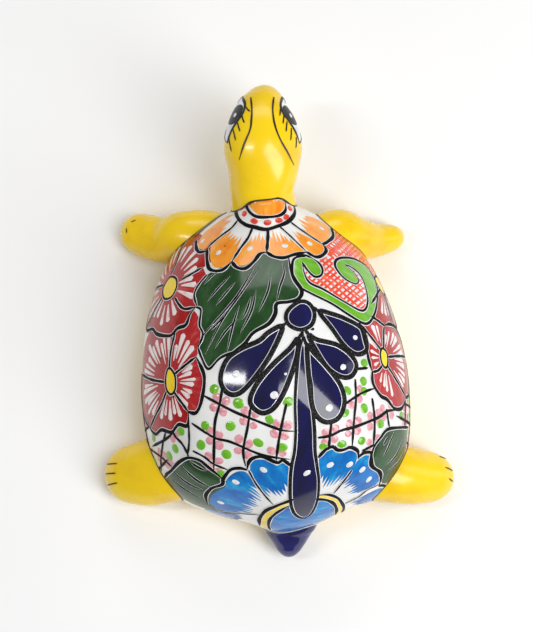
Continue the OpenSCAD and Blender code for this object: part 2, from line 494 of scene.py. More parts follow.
# The rings of a dot, in shares of its radius and of its lift
DOT_RINGS = ((0.5, 0.98), (0.85, 0.92), (1, 0.6))
DOT_COLUMNS, UNEVEN = 18, 0.07


def dot(paint, stamp, x, y, across, along=None, turn=0.0, lift=DOT):
    """A round or oval touch of the brush. Its size is measured on the clay."""
    along = along or across
    p, n = stamp.at(x, y)
    side = unit(stamp.side - n * (stamp.side @ n))
    up = np.cross(n, side)
    c, s = heading(turn)
    side, up = c * side + s * up, c * up - s * side
    seed, count = chance.uniform(0, SEEDS), DOT_COLUMNS
    wobble = [1 + chance.uniform(-UNEVEN, UNEVEN) for _ in range(count)]
    wobble = [(wobble[i - 1] + wobble[i] * 2 + wobble[(i + 1) % count]) / 4 for i in range(count)]
    points, normals, brush = [p + n * lift], [n], [(0, 0, seed)]
    for share, rise in DOT_RINGS + ((1, -ROOT / lift),):
        for i in range(count):
            a = 2 * math.pi * i / count
            u = across / 2 * share * wobble[i] * math.cos(a)
            v = along / 2 * share * wobble[i] * math.sin(a)
            q, m = stamp.skin.nearest(p + side * u + up * v)
            points.append(q + m * lift * rise)
            normals.append(unit(m + (side * math.cos(a) + up * math.sin(a)) * DOT_ROUND * share * share))
            brush.append((v, u, seed))
    points.append(p - n * ROOT)
    normals.append(n)
    brush.append((0, 0, seed))
    faces = cap(0, 1, count) + ring_faces(len(DOT_RINGS) + 1, count, 1)
    last = len(points) - 1
    faces += cap(last, last - count, count, False)
    paint.add(points, normals, brush, faces)


def dots(paint, stamp, places, across, along):
    """Dots of one size at places, each an x, a y and a turn."""
    for x, y, turn in places:
        dot(paint, stamp, x, y, across, along, turn)


# --- the shell's shape

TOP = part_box("carapace")[1][2] / MM
plastron_low, plastron_high = (np.array(c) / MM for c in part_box("plastron"))
HALF_WIDTH = (plastron_high[0] - plastron_low[0]) / 2
LENGTH = plastron_high[1] - plastron_low[1]
REAR = plastron_low[1]
RIM = plastron_high[2]
DOME_Y = REAR + 0.45 * LENGTH
WALL, FLOOR = 5, 6
FOOT_SHARE, FLOOR_SHARE = 0.8, 0.74     # sizes of the flat foot and of the inner floor in the outline's
HOLE_EDGE = 1.5                         # radius of the drain hole's glazed edge
INNER_SHARE = 1 - WALL / HALF_WIDTH
hole = next(m for m in frame["record"]["mounts"] if m["name"] == "hang_hole")
HOLE_Y = hole["pos_m"][1] / MM
HOLE_R = hole["dims"]["r_mm"]

# Each side of the shell's outline from the neck to the tail: share of the half width, and share of the
# length from the rear. The left side bulges more at its front, and a little more than in the CAD part.
OUTLINE_RIGHT = [
    (0, 1), (0.2, 0.985), (0.375, 0.95), (0.535, 0.9), (0.66, 0.845), (0.785, 0.755), (0.89, 0.64),
    (0.965, 0.51), (0.988, 0.38), (0.965, 0.255), (0.88, 0.16), (0.72, 0.096), (0.5, 0.065),
    (0.26, 0.024), (0, 0)
]
OUTLINE_LEFT = [
    (0, 1), (0.2, 0.988), (0.4, 0.963), (0.585, 0.917), (0.725, 0.865), (0.84, 0.79), (0.935, 0.68),
    (0.992, 0.56), (1.012, 0.42), (0.974, 0.285), (0.887, 0.175), (0.725, 0.106), (0.48, 0.062),
    (0.225, 0.031), (0, 0)
]
COLLAR_START = np.array([-4, 66, 60])
COLLAR_LENGTH, COLLAR_RADIUS, COLLAR_FADE, COLLAR_RISE = 13, 9, 9, 20
NECK_WAY = np.array([0, *heading(25)])
COLUMNS = 336

both_sides = OUTLINE_RIGHT + [(-x, y) for x, y in OUTLINE_LEFT[-2:0:-1]]
outline = [(x * HALF_WIDTH, REAR + y * LENGTH - DOME_Y) for x, y in both_sides]
outline = even(spline(outline, 12, closed=True), 0.2, closed=True)
outline = outline[(np.arange(COLUMNS) * len(outline) / COLUMNS).astype(int)][::-1]


def collar(p):
    """The shell sweeps up and forwards along the top of the neck."""
    out = p.copy()
    rel = p - COLLAR_START
    away = np.linalg.norm(rel - np.outer(rel @ NECK_WAY, NECK_WAY), axis=1)
    push = COLLAR_LENGTH * np.exp(-np.maximum(0, away - COLLAR_RADIUS) / COLLAR_FADE)
    push *= np.clip((p[:, 2] - RIM) / COLLAR_RISE, 0, 1) * (p[:, 1] >= DOME_Y)
    return out + push[:, None] * NECK_WAY


def ring(share, z):
    return np.column_stack([outline[:, 0] * share, DOME_Y + outline[:, 1] * share, np.full(COLUMNS, z)])


def quarter(count):
    """Angles from just past the middle of a form to its widest line."""
    return [math.radians(90 * i / count) for i in range(1, count + 1)]


def upper_ring(a):
    return collar(ring(math.sin(a), RIM + (TOP - RIM) * math.cos(a)))


def under_ring(a):
    return ring(1 - (1 - FOOT_SHARE) * (1 - math.cos(a)), RIM * (1 - math.sin(a)))


DOME_ROWS, UNDER_ROWS, CAVITY_ROWS, FLOOR_ROWS = 104, 22, 24, 14
top_rings = [upper_ring(a) for a in quarter(DOME_ROWS)]
under_rings = [under_ring(a) for a in [0] + quarter(UNDER_ROWS)]
apex = np.array([[0, DOME_Y, TOP]])


def build_carapace():
    """The upper shell: a dome with a hollow under it."""
    cavity = [ring(INNER_SHARE * math.sin(a), RIM + (TOP - WALL - RIM) * math.cos(a))
        for a in quarter(CAVITY_ROWS)]
    rings = top_rings + cavity[::-1]
    points = np.concatenate([apex] + rings + [[[0, DOME_Y, TOP - WALL]]])
    last = len(points) - 1
    faces = cap(0, 1, COLUMNS) + ring_faces(len(rings), COLUMNS, 1)
    faces += cap(last, last - COLUMNS, COLUMNS, False)
    return points, faces


def build_plastron():
    """The lower shell: its underside is flat round the drain hole, whose edge is rounded by glaze."""
    turn = np.arctan2(outline[:, 1], outline[:, 0])
    eye = np.column_stack([np.cos(turn), np.sin(turn)])

    def hole_ring(radius, z):
        return np.column_stack([eye[:, 0] * radius, HOLE_Y + eye[:, 1] * radius, np.full(COLUMNS, z)])

    foot, floor = ring(FOOT_SHARE, 0), ring(FLOOR_SHARE, FLOOR)
    rings = list(under_rings)
    rings += [foot + (hole_ring(HOLE_R + HOLE_EDGE, 0) - foot) * i / FLOOR_ROWS
        for i in range(1, FLOOR_ROWS + 1)]
    rings += [hole_ring(HOLE_R + HOLE_EDGE * (1 - math.sin(a)), HOLE_EDGE * (1 - math.cos(a)))
        for a in quarter(4)]
    rings += [hole_ring(HOLE_R, FLOOR - 1), hole_ring(HOLE_R + 1, FLOOR)]
    rings += [hole_ring(HOLE_R + 1, FLOOR) * (1 - t) + floor * t for t in (0.3, 0.6, 0.9)]
    for a in quarter(8)[::-1]:
        share = INNER_SHARE - (INNER_SHARE - FLOOR_SHARE) * (1 - math.cos(a))
        rings.append(ring(share, RIM - (RIM - FLOOR) * math.sin(a)))
    rings.append(ring(INNER_SHARE, RIM))
    return np.concatenate(rings), ring_faces(len(rings), COLUMNS, 0, wrap_rows=True)


skin_points = np.concatenate([apex] + top_rings + under_rings[1:] + [[[0, DOME_Y, 0]]])
skin_faces = cap(0, 1, COLUMNS) + ring_faces(DOME_ROWS + UNDER_ROWS, COLUMNS, 1)
skin_faces += cap(len(skin_points) - 1, len(skin_points) - 1 - COLUMNS, COLUMNS, False)
shell_skin = Skin(skin_points, skin_faces)

carapace = make_mesh("carapace_shell", *build_carapace(), WHITE, "painted_shell")
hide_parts("carapace")
plastron = make_mesh("plastron_shell", *build_plastron(), YELLOW, "yellow_glaze")
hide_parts("plastron")

# --- head, limbs and tail

HEAD_WIDTH, HEAD_HEIGHT, FLIPPER_WIDTH, LEG_WIDTH, LIMB_HEIGHT, TAIL_WIDTH = 48, 39, 37, 42, 32, 40

# Each form's greatest width and height, the length of its rounded tip, and its sections from inside the
# shell to that tip: centre x, y, z, then the shares of its width and height. The left limbs' x is
# measured to the left.
FORMS = {
    "head_and_neck": (HEAD_WIDTH, HEAD_HEIGHT, 9.2, [
        (-5, 62, 42, 0.9, 0.96), (-5, 73, 47.5, 0.83, 0.92), (-5.8, 83, 54.5, 0.83, 0.93),
        (-4.7, 94, 60, 0.92, 1), (-4.5, 105, 63.5, 1, 1), (-4.5, 117, 64.5, 0.92, 0.92),
        (-4, 128, 63.5, 0.73, 0.77), (-2.6, 136, 62, 0.53, 0.59)]),
    "front_flipper_left": (FLIPPER_WIDTH, LIMB_HEIGHT, 10.2, [
        (28, 50, 30, 0.98, 0.86), (43, 55.5, 29, 1, 0.9), (57, 58.3, 26, 0.86, 0.88),
        (69, 56.8, 18, 0.745, 0.77), (79, 61, 12.5, 0.77, 0.72), (87.5, 64.8, 10, 0.68, 0.62)]),
    "front_flipper_right": (FLIPPER_WIDTH, LIMB_HEIGHT, 10.2, [
        (28, 47.5, 34, 0.97, 0.9), (41, 54.3, 32, 0.945, 0.95), (53, 53.8, 25, 0.75, 0.85),
        (64, 54, 16, 0.605, 0.7), (75, 56.2, 9.5, 0.487, 0.62)]),
    "rear_leg_left": (LEG_WIDTH, LIMB_HEIGHT, 16, [
        (48, -86, 32, 0.96, 1), (66, -88, 27, 0.98, 1), (82, -90, 19, 0.99, 0.94),
        (95, -90.8, 12.5, 0.857, 0.81)]),
    "rear_leg_right": (LEG_WIDTH, LIMB_HEIGHT, 16, [
        (48, -89, 32, 0.93, 1), (66, -93.3, 27, 0.92, 1), (82, -96.5, 19, 0.857, 0.94),
        (95, -97.6, 12.5, 0.757, 0.81)]),
    "tail": (TAIL_WIDTH, TAIL_WIDTH, 6.5, [
        (4.5, -112, 24, 1, 0.68), (5.2, -122, 20, 0.92, 0.6), (5, -128.5, 17, 0.76, 0.5),
        (4.9, -134, 14.7, 0.58, 0.42), (4.7, -138.7, 12.8, 0.43, 0.33)]),
}
FORM_STEPS, FORM_COLUMNS, TIP_ROWS = 9, 88, 14


def form_rings(width, height, tip, sections, mirrored):
    """Rings of a lofted form from its root inside the shell to its rounded tip."""
    s = spline(sections, FORM_STEPS) * (1, 1, 1, width / 2, height / 2)
    if mirrored:
        s[:, 0] *= -1
    centre = s[:, :3]
    way = np.gradient(centre, axis=0)
    way[0], way[-1] = centre[2] - centre[0], centre[-1] - centre[-FORM_STEPS - 1]
    way /= np.linalg.norm(way, axis=1, keepdims=True)
    around = np.arange(FORM_COLUMNS) * 2 * math.pi / FORM_COLUMNS

    def section(c, d, half_width, half_height):
        side = unit(np.cross(d, [0, 0, 1]))
        up = np.cross(side, d)
        p = c + half_width * np.cos(around)[:, None] * side + half_height * np.sin(around)[:, None] * up
        p[:, 2] = np.maximum(p[:, 2], 0)
        return p

    rings = [section(centre[i], way[i], s[i, 3], s[i, 4]) for i in range(len(s))]
    # The tip is a part of an ellipse that goes on at the slope the form ends with
    slope = (s[-2, 3] - s[-1, 3]) / np.linalg.norm(centre[-1] - centre[-2]) * tip / s[-1, 3]

    def miss(a):
        return abs(math.tan(a) * (1 - math.sin(a)) / math.cos(a) - slope)

    start = min(np.radians(range(70)), key=miss)
    for i in range(1, TIP_ROWS):
        a = start + (math.pi / 2 - start) * i / TIP_ROWS
        reach = tip * (math.sin(a) - math.sin(start)) / (1 - math.sin(start))
        taper = math.cos(a) / math.cos(start)
        rings.append(section(centre[-1] + reach * way[-1], way[-1], s[-1, 3] * taper, s[-1, 4] * taper))
    end = centre[-1] + tip * way[-1]
    return rings, centre[0], end


def build_form(name, material, slot):
    width, height, tip, sections = FORMS[name]
    rings, root, end = form_rings(width, height, tip, sections, name.endswith("left"))
    points = np.concatenate([[root]] + rings + [[end]])
    last = len(points) - 1
    faces = cap(0, 1, FORM_COLUMNS) + ring_faces(len(rings), FORM_COLUMNS, 1)
    faces += cap(last, last - FORM_COLUMNS, FORM_COLUMNS, False)
    form = Skin(points, faces)
    # A mirrored form is inside out until its faces are turned
    out = sum((form.points[i] - points.mean(0)) @ form.normals[i] for i in range(1, last, 40))
    if out < 0:
        faces = [f[::-1] for f in faces]
        form = Skin(points, faces)
    obj = make_mesh(name + "_form", points, faces, material, slot)
    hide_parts(name)
    return form, rings


HALVINGS = 8        # of the step between two rings, to find where a form meets the shell
skins, loops = {}, {}
for form_name in FORMS:
    cobalt = form_name == "tail"
    skins[form_name], form_rows = build_form(
        form_name, COBALT_BODY if cobalt else YELLOW, "cobalt_glaze" if cobalt else "yellow_glaze")
    # Where each column of the form comes out of the shell
    loop = []
    for column in range(FORM_COLUMNS):
        line = [r[column] for r in form_rows]
        buried = [shell_skin.holds(p) for p in line]
        k = max((i for i, b in enumerate(buried) if b), default=0)
        k = min(k, len(line) - 2)
        low, high = line[k], line[k + 1]
        for _ in range(HALVINGS):
            middle = (low + high) / 2
            low, high = (middle, high) if shell_skin.holds(middle) else (low, middle)
        loop.append(low)
    loops[form_name] = np.array(loop)

# --- camera, light and floor

target = Vector((-0.0052, 0.004, 0.04))
pitch, lean, distance = math.radians(82.5), math.radians(1.6), 1.01
view_height = math.radians(22)
camera = add_object("camera", bpy.data.cameras.new("camera"))
back = Vector((0, -math.cos(pitch), math.sin(pitch)))
camera.data.sensor_fit = "VERTICAL"
camera.data.sensor_height = 24
camera.data.lens = camera.data.sensor_height / 2 / math.tan(view_height / 2)
camera.rotation_mode = "QUATERNION"
camera.location = target + back * distance
camera.rotation_quaternion = (-back).to_track_quat("-Z", "Y")
camera.rotation_quaternion.rotate(Quaternion(back, -lean))
bpy.context.scene.camera = camera
LIT_POINT = Vector((0, 0, 0.05))


def softbox(name, place, size, power, turn=0):
    light = bpy.data.lights.new(name, "AREA")
    light.shape = "RECTANGLE"
    light.size, light.size_y = size
    light.energy = power
    obj = add_object(name, light)
    obj.location = place
    obj.rotation_mode = "QUATERNION"
    aim = (LIT_POINT - Vector(place)).normalized()
    obj.rotation_quaternion = Quaternion(aim, math.radians(turn)) @ aim.to_track_quat("-Z", "Y")


softbox("softbox_right", (0.68, -0.38, 1.1), (0.56, 1.6), 16, 8)
softbox("softbox_left", (-0.76, 0.05, 1.2), (0.1, 0.5), 3)
softbox("softbox_front", (0, 1.3, 1.0), (1.2, 0.5), 4.5)
softbox("softbox_side", (1.9, 0.1, 0.5), (0.6, 1.2), 2.5)

world = bpy.data.worlds.new("studio")
world.use_nodes = True
put(world.node_tree.nodes["Background"], {"Color": (1, 1, 1, 1), "Strength": 0.27})
bpy.context.scene.world = world
bpy.context.scene.view_settings.view_transform = "Standard"


def paper():
    """Matt studio paper."""
    m = bpy.data.materials.new("studio_paper")
    m.use_nodes = True
    colour_by(m, noise(m, None, 60, 2.0), [(0, (0.9, 0.9, 0.9, 1)), (1, (0.94, 0.94, 0.94, 1))])
    put(m.node_tree.nodes["Principled BSDF"], {"Roughness": 0.9, "Specular IOR Level": 0.1})
    return m


PAPER_HALF, PAPER_DROP = 4, 0.0003
floor_mesh = bpy.data.meshes.new("floor")
corners = [(x * PAPER_HALF, y * PAPER_HALF, -PAPER_DROP) for x, y in ((-1, -1), (1, -1), (1, 1), (-1, 1))]
floor_mesh.from_pydata(corners, [], [(0, 1, 2, 3)])
floor_mesh.materials.append(paper())
floor = add_object("floor", floor_mesh)

# --- the painting's colours

colours = []


def colour(name, material, slot="painted_shell"):
    colours.append(Paint(name, material, slot))
    return colours[-1]


petal_red = colour("side_flower_petals", RED)
petal_rose = colour("side_flower_thin_petals", ROSE)
petal_white = colour("side_flower_streaks", STREAK)
eye_yellow = colour("side_flower_eyes", YELLOW_PAINT, "yellow_glaze")
petal_orange = colour("neck_flower_petals", ORANGE)
ring_red = colour("neck_flower_ring_dots", DOT_RED)
leaf_green = colour("leaves", GREEN)
scroll_lime = colour("heart_scroll", LIME)
heart_ground = colour("heart_white_ground", WHITE_PAINT)
hatch_red = colour("heart_crosshatch", HATCH)
drop_cobalt = colour("cobalt_drops_and_stripe", COBALT, "cobalt_glaze")
petal_azure = colour("tail_flower_petals", AZURE)
ring_yellow = colour("tail_flower_ring", YELLOW_PAINT, "yellow_glaze")
dots_pink = colour("lattice_pink_dots", PINK)
dots_lime = colour("lattice_lime_dots", LIME)
dots_white = colour("white_dots", WHITE_PAINT)
rim_cobalt = colour("shoulder_band", COBALT, "cobalt_glaze")
hairlines = colour("outline_hairlines", WHITE_PAINT)
outlines = colour("outlines", BLACK)
bold_outlines = colour("cobalt_motif_outlines", COARSE_BLACK)
lattice_lines = colour("lattice_lines", BLACK)
veins = colour("leaf_veins", BLACK)
seams = colour("limb_seam_lines", FINE_BLACK)
face_lines = colour("face_lines", FINE_BLACK, "yellow_glaze")
# The eye whites piece also holds the painted highlight on each iris
eye_whites_and_highlights = colour("eye_whites_and_highlights", WHITE_PAINT, "yellow_glaze")
claws = colour("claw_marks", FINE_BLACK, "yellow_glaze")

FOOTPRINT_GAP = 2.0     # spacing of the points kept of each motif's outline
footprints = []


def block(paint, stamp, outline, lift, grain=along_y, curved=True, gap=EDGE_GAP):
    """A filled shape that later lattice lines and dots stay clear of."""
    fill(paint, stamp, outline, lift, grain, curved, gap)
    edge = even(spline(outline, STEPS, closed=True) if curved else outline, FOOTPRINT_GAP, closed=True)
    places = [stamp.at(x, y) for x, y in edge]
    footprints.append((np.array([p for p, _ in places]), unit(sum(n for _, n in places))))


def ink(stamp, points, width, closed=False, paint=outlines, hair=0.4, profile=None, curved=True):
    """A black outline with a white hairline along each side."""
    places = trace(stamp, points, closed, curved=curved)
    profile = profile or (even_width if closed else brush_line)
    ribbon(hairlines, places, width + 2 * hair, HALO, profile, closed)
    ribbon(paint, places, width, LINE, profile, closed)


OVERHEAD = 60       # how far above the shell a point of the ground plan starts to drop


def stamp_on(x, y):
    """A stamp on the shell over the point (x, y) of the ground plan."""
    return Stamp(shell_skin, *shell_skin.drop((x, y, TOP + OVERHEAD), (0, 0, -1)))


def seen_from(stamp, points):
    """Where points in space lie in a stamp's plane."""
    rel = np.array(points) - stamp.anchor
    return np.column_stack([rel @ stamp.side, rel @ stamp.up])


def moved(points, old, new):
    """An outline drawn on one stamp, as it lies on another."""
    return seen_from(new, [old.at(x, y)[0] for x, y in points])


def flank(angle, z):
    """The point of the shell at an angle round its middle and a height over its rim."""
    share = math.sqrt(max(0.0, 1 - ((z - RIM) / (TOP - RIM)) ** 2))
    off = np.arctan2(outline[:, 1], outline[:, 0]) - math.radians(angle)
    edge = outline[np.argmin(np.abs(np.angle(np.exp(1j * off))))]
    return np.array([edge[0] * share, DOME_Y + edge[1] * share, z])


def flank_line(stamp, places):
    """Points on the flank, each an angle and a height, as they lie on a stamp."""
    return seen_from(stamp, [flank(a, z) for a, z in places])


def draw_veins(stamp, lines, width, hair=0.3):
    for line in lines:
        ink(stamp, line, width, paint=veins, hair=hair, profile=vein_line)


def draw_lobes(stamp, lobes):
    """The black edges of a flower's petals."""
    for lobe in lobes:
        ink(stamp, lobe, 2.3)


crown = Stamp(shell_skin, (0, 0, TOP), (0, 0, 1))

# --- red flowers on the flanks


STREAK_SHARE = 0.62     # how much of its part of a petal one dry streak takes up
WIDEST_STREAK = 4.2
STREAK_LIFT = 0.05      # above its petal
SHORTEST_PETAL, LONGEST_PETAL = 6, 60


def side_flower(anchor, normal, eye, spokes, edges, streak, plain=(), hidden=(), rose=(), lift=UNDER):
    """A flower of red petals with dry white streaks, which are about streak apart. spokes run out from
    the eye, and edges[i] joins the ends of spokes i and i + 1 anticlockwise. Edges in plain and spokes
    in hidden lie under other motifs and get no line, and petals in rose are thinly painted."""
    stamp = Stamp(shell_skin, anchor, normal)
    cx, cy = np.mean(eye, axis=0)
    count = len(spokes)
    for i in range(count):
        first, second = spokes[i], spokes[(i + 1) % count]
        rim = spline([first[-1]] + edges[i] + [second[-1]], 6)
        petal = np.concatenate([[(cx, cy)], spline(first, 6)[:-1], rim, spline(second, 6)[::-1][1:]])
        block(petal_rose if i in rose else petal_red, stamp, petal, lift, round_about(cx, cy),
            curved=False)
        a0 = math.atan2(rim[0][1] - cy, rim[0][0] - cx)
        span = (math.atan2(rim[-1][1] - cy, rim[-1][0] - cx) - a0) % (2 * math.pi)
        size = np.hypot(rim[:, 0] - cx, rim[:, 1] - cy).mean()
        streaks = max(3, round(span * size / streak))
        for k in range(streaks):
            a = a0 + span * (k + 0.5 + chance.uniform(-0.18, 0.18)) / streaks
            way = np.array([math.cos(a), math.sin(a)])
            far = edge_reach(petal, (cx, cy), way)
            line = [(cx, cy) + way * far * chance.uniform(*part) for part in ((0.3, 0.45), (0.68, 0.84))]
            width = STREAK_SHARE * span * far / streaks * chance.uniform(0.6, 1.2)
            stroke(petal_white, stamp, line, min(WIDEST_STREAK, width), lift + STREAK_LIFT, wedge,
                curved=False)
        if i not in hidden:
            ink(stamp, first, 1.8)
        if i not in plain:
            ink(stamp, rim, 2.3, curved=False)
    fill(eye_yellow, stamp, eye, HALO + CLEAR, round_about(cx, cy))
    ink(stamp, eye, 1.6, closed=True)
    return stamp


def edge_reach(polygon, centre, way):
    """How far a ray from the centre runs before it leaves the polygon."""
    d = 1.0
    while inside(polygon, *(np.array(centre) + way * (d + 1))) and d < LONGEST_PETAL:
        d += 1
    return max(d, SHORTEST_PETAL)


side_flower(
    (-58.4, 19, 57.4), (-0.79, 0.35, 0.51),
    [(-5, 7), (3, 5), (6, -1), (3, -7), (-5, -7), (-10, 0)],
    [[(9, 4), (15, 7), (22, 12)], [(-5, 9), (-4, 17), (-9, 32), (-14, 44)],
    [(-12, 3), (-22, 4), (-38, 7)],
     [(-8, -6), (-18, -14), (-29, -22)], [(7, -8), (16, -15), (25, -14)]],
    [[(27, 20), (23, 28), (14, 33), (4, 38)], [(-22, 42), (-32, 32), (-38, 20)], [(-39, -4), (-37, -14)],
     [(-24, -24), (-14, -25), (-7, -29), (2, -31), (9, -31), (14, -27), (20, -25), (22, -19)],
     [(29, -8), (30, 0), (26, 7)]],
    10, plain=(0, 4), rose=(1, 2, 4), lift=UNDER + CLEAR)
side_flower(
    (-62.6, -38, 71.6), (-0.73, 0.06, 0.68),
    [(-1, 8), (4, 3), (4, -5), (0, -8), (-4, -4), (-4, 4)],
    [[(4, 4), (13, 9), (20, 13)], [(-1, 8), (0, 18), (3, 30)], [(-6, 0), (-21, 3), (-40, 9)],
     [(-4, -6), (-11, -14), (-28, -26)], [(3, -7), (9, -14), (13, -19)]],
    [[(22, 20), (21, 34), (15, 42), (10, 40), (9, 34)], [(-4, 34), (-16, 36), (-30, 33), (-40, 22)],
     [(-42, -2), (-41, -12), (-36, -20)],
     [(-21, -30), (-13, -28), (-3, -30), (4, -26), (11, -27)], [(18, -20), (22, -15), (25, -5), (25, 3)]],
    6, plain=(0, 1), rose=(0, 4))
side_flower(
    (65.4, 21.4, 40.1), (0.89, 0.38, 0.26),
    [(-6, 4), (2, 6), (6, 1), (4, -6), (-3, -6), (-7, -1)],
    [[(6, -2), (10, -8), (12, -14)], [(4, 6), (8, 12), (9, 17)], [(-4, 6), (-10, 16), (-14, 24)],
     [(-7, 1), (-18, 4), (-26, 4)], [(-6, -4), (-15, -8), (-26, -14)], [(1, -7), (-3, -18), (-4, -27)]],
    [[(12, -4), (12, 8)], [(4, 24), (-6, 28)], [(-22, 22), (-27, 13)], [(-32, -2), (-32, -10)],
     [(-28, -22), (-21, -29), (-12, -31)], [(4, -28), (12, -22)]],
    8, plain=(1, 2, 3, 4), hidden=(2, 3))
right_rear_flower = side_flower(
    (64.4, -26.2, 68), (0.76, 0.12, 0.63),
    [(0, 5), (4, 2), (3, -5), (0, -7), (-3, -4), (-3, 2)],
    [[(5, 0), (20, 2), (37, 4)], [(1, 5), (4, 14), (7, 20)], [(-2, 4), (-7, 9), (-17, 20)],
     [(-3, -6), (-7, -9), (-12, -10)], [(3, -6), (12, -14), (25, -23)]],
    [[(39, 12), (30, 19), (18, 22)], [(4, 24), (-6, 26)], [(-15, 7), (-14, -3)],
     [(-12, -17), (-6, -24), (0, -26), (8, -31), (18, -30)], [(32, -21), (38, -16), (40, -6)]],
    6, plain=(1,), rose=(1, 2, 3), lift=UNDER + CLEAR)

ink(right_rear_flower, [(7, 20), (2, 22), (-5, 25)], 2.0)

# --- the orange flower behind the neck


TOOTH, TEAR = 2.3, 9        # how wide and how deep the spikes of dry paint are


def ragged(start, end, centre, depth):
    """The torn inner end of a dry-brushed petal: spikes that point to the centre, from start to end."""
    start, end, centre = (np.array(p, float) for p in (start, end, centre))
    teeth = max(2, round(np.linalg.norm(end - start) / TOOTH))
    points = []
    for i in range(2 * teeth - 1):
        p = start + (end - start) * (i + 1 + chance.uniform(-0.3, 0.3)) / (2 * teeth)
        points.append(p + unit(centre - p) * (-1) ** (i + 1) * depth * chance.uniform(0.1, 0.6))
    return points


def dry_petal(paint, stamp, outer, centre, depth):
    """A petal with a smooth outline, whose inner end is torn from the last point back to the first."""
    outline = np.concatenate([spline(outer, STEPS), ragged(outer[-1], outer[0], centre, depth)])
    block(paint, stamp, outline, OVER, round_about(*centre), curved=False, gap=EDGE_GAP / 2)


NECK_EYE = (-3, 72)
for outer in (
        [(-26, 66), (-30, 64), (-36, 60), (-42, 55), (-45, 50), (-46, 46), (-44, 43), (-41, 43),
        (-38, 47), (-33, 50)],
        [(-27, 54), (-32, 50), (-37, 47), (-38, 41), (-38, 35), (-36, 30), (-32, 29), (-27, 30),
        (-25, 34), (-20, 42)],
        [(-15, 47), (-21, 38), (-24, 33), (-22, 30), (-18, 29), (-14, 31), (-10, 35), (-5, 38), (-4, 43),
        (-4, 47)],
        [(-2, 48), (-3, 39), (-1, 36), (4, 34), (10, 36), (18, 38), (14, 42), (10, 46)],
        [(15, 45), (20, 39), (25, 35), (28, 36), (31, 40), (29, 44), (24, 46), (14, 51)],
        [(18, 53), (24, 48), (29, 45), (33, 46), (35, 50), (35, 55), (31, 60), (25, 63), (20, 63)]):
    dry_petal(petal_orange, crown, outer, NECK_EYE, TEAR)
fill(petal_orange, crown, [(-13, 71), (-12, 66), (-8, 62), (-2, 61), (4, 62), (7, 66), (7, 71)], OVER)
ink(crown, [(-16, 71), (-14, 65), (-10, 61), (-4, 60), (4, 61), (8, 65), (8, 71)], 2.0)
ink(crown, [(-21, 72), (-22, 66), (-20, 60), (-16, 56), (-11, 54), (-4, 52), (3, 54), (9, 57), (13, 62),
    (14, 67), (13, 71)], 2.6)
dots(ring_red, crown, ((-18, 69, 80), (-17, 64, 110), (-11, 58, 150), (-3, 56.5, 0), (4, 58, 20),
    (8.5, 60.5, 50), (11, 67, 80)), 5, 3.6)
for divider, width in (([(-21, 60), (-25, 55), (-32, 50), (-38, 45), (-40, 42)], 1.8),
        ([(-12, 54), (-15, 47), (-20, 40), (-25, 32)], 1.7), ([(-3, 53), (-3, 47), (-4, 37)], 2.0),
        ([(4, 54), (10, 48), (20, 37)], 1.2), ([(11, 57), (20, 50), (30, 43)], 1.5)):
    ink(crown, divider, width)
draw_lobes(crown, ([(-47, 50), (-47, 45), (-45, 41), (-40, 41)],
    [(-40, 42), (-40, 34), (-38, 28), (-31, 27), (-25, 32)],
    [(-25, 32), (-22, 28), (-17, 27), (-12, 31), (-8, 36), (-4, 37)],
    [(-4, 37), (0, 34), (6, 33), (12, 35), (20, 37)],
    [(20, 37), (25, 34), (29, 35), (32, 39), (30, 43)], [(30, 43), (33, 45), (37, 50), (36, 58)]))
dots(dots_white, crown, ((-43, 49, 60), (-33, 39, 40), (-14, 40, 30), (7, 41, 0), (22, 43, -30),
    (30, 55, -20)), 3.8, 2.9)
dot(outlines, crown, -29, 43, 0.9)

# --- the big leaf

big_leaf = [(-26, 30), (-18, 29), (-10, 33), (-6, 36), (1, 33), (9, 33), (10, 25), (12, 19), (16, 12),
    (14, 7), (8, 5), (1, 4), (0, -1), (-4, -8), (-13, -13), (-18, -19), (-23, -23), (-33, -27),
    (-40, -33), (-44, -25), (-46, -20), (-43, -12), (-45, -6), (-44, 2), (-46, 5), (-48, 12), (-47, 17),
    (-41, 24), (-34, 28)]
block(leaf_green, crown, big_leaf, OVER, slanted(62))
ink(crown, [(-40, 25), (-46, 18), (-48, 12), (-46, 5)], 1.5)
ink(crown, [(-47, 5), (-44, 3), (-45, -6), (-43, -12), (-46, -20)], 1.5)
ink(crown, [(-46, -20), (-44, -26), (-40, -33), (-33, -27), (-23, -23)], 1.6)
ink(crown, [(-28, -26), (-23, -23), (-18, -19), (-13, -13), (-4, -8), (0, -2), (1, 4), (8, 5), (14, 7),
    (16, 12), (12, 19), (10, 25), (9, 33)], 2.4)
draw_veins(crown, ([(-10, 31), (-23, 9), (-43, -13), (-46, -20)],
    [(-8, 28), (-20, 11), (-31, -4), (-42, -24)],
    [(-26, 23), (-33, 16), (-40, 8)], [(-23, 19), (-35, 5)], [(-34, 26), (-38, 23), (-42, 19)],
    [(-11, 13), (-14, 0), (-21, -13)], [(-21, 4), (-25, -8), (-29, -24)],
    [(-22, -4), (-30, -12), (-36, -21)],
    [(5, 30), (6, 23), (3, 14), (1, 5)], [(-2, 23), (-4, 12), (-10, -1)], [(-14, 9), (-17, 0), (-20, -5)],
    [(-30, -2), (-38, -10)]), 1.25, 0.22)

# --- the heart scroll

scroll_outer = [(23, 33), (19, 34), (13, 33), (11, 29), (11, 22), (14, 15), (22, 10), (34, 4), (45, -3),
    (54, -7), (59, -2), (62, 7), (63, 20), (58, 31), (50, 35), (43, 35), (38, 33), (37, 28), (42, 21),
    (49, 18), (51, 21), (48, 26), (43, 30)]
scroll_inner = [(43, 30), (47, 29), (52, 25), (55, 18), (56, 7), (52, 1), (41, 6), (29, 13), (21, 17),
    (18, 23), (17, 30)]
curl = [(17, 30), (20, 25), (24, 21), (28, 22), (29, 26), (27, 30), (23, 33)]
shoulder = stamp_on(50, 36)


